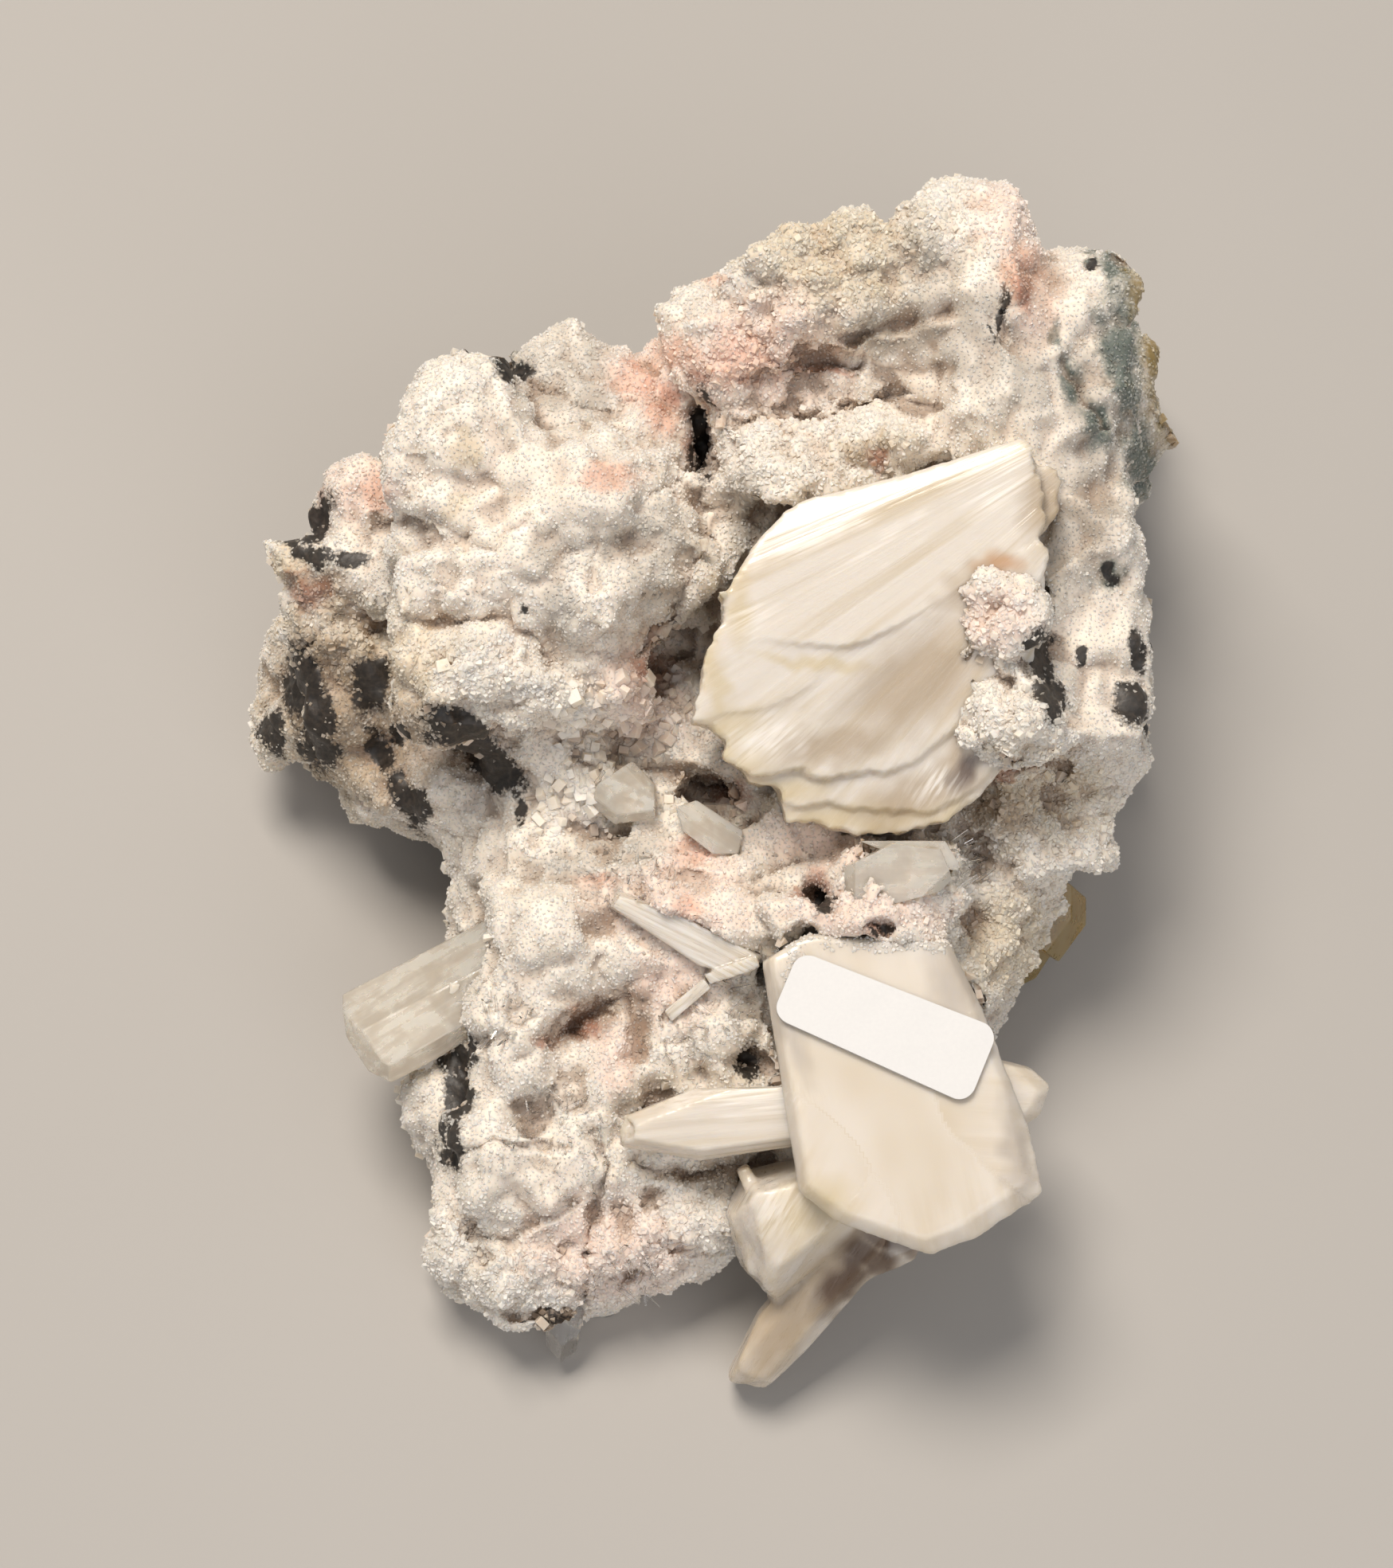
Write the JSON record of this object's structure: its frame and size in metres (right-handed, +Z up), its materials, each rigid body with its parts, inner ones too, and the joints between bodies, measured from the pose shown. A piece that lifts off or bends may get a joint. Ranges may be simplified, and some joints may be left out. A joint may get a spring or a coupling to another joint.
{
  "type": "stilbite mineral specimen",
  "caption": "Stilbite crystal blocks and fan on a lump of zeolite druse and basalt, with a flat resting base and a blank paper sticker.",
  "frame": {"origin": "on the flat base it rests on, under the middle of the display face", "axes": "+Z up from the flat base, +Y from the front foot to the back, along the specimen's length, +X to the right seen from the front"},
  "size_m": [0.0864, 0.1071, 0.0556],
  "materials": {
    "zeolite_druse": "matt sugary crust of small crystals with pink, grey and dark basalt patches",
    "cream_stilbite": "pearly, finely striated along each crystal",
    "glassy_zeolite": "glassy, clear to slightly milky",
    "honey_calcite": "waxy, slightly see-through",
    "white_paper": "matt paper"
  },
  "bodies": {
    "root": {"matrix": "zeolite_druse", "stilbite_fan": "cream_stilbite", "stilbite_block": "cream_stilbite", "stilbite_blade": "cream_stilbite", "stilbite_splinter": "cream_stilbite", "stilbite_needle": "cream_stilbite", "glassy_crystal_left": "glassy_zeolite", "glassy_crystal_foot": "glassy_zeolite", "glassy_crystal_centre": "glassy_zeolite", "glassy_fan": "glassy_zeolite", "glassy_crystal_right": "glassy_zeolite", "honey_crystal": "honey_calcite", "label": "white_paper"}
  },
  "joints": []
}
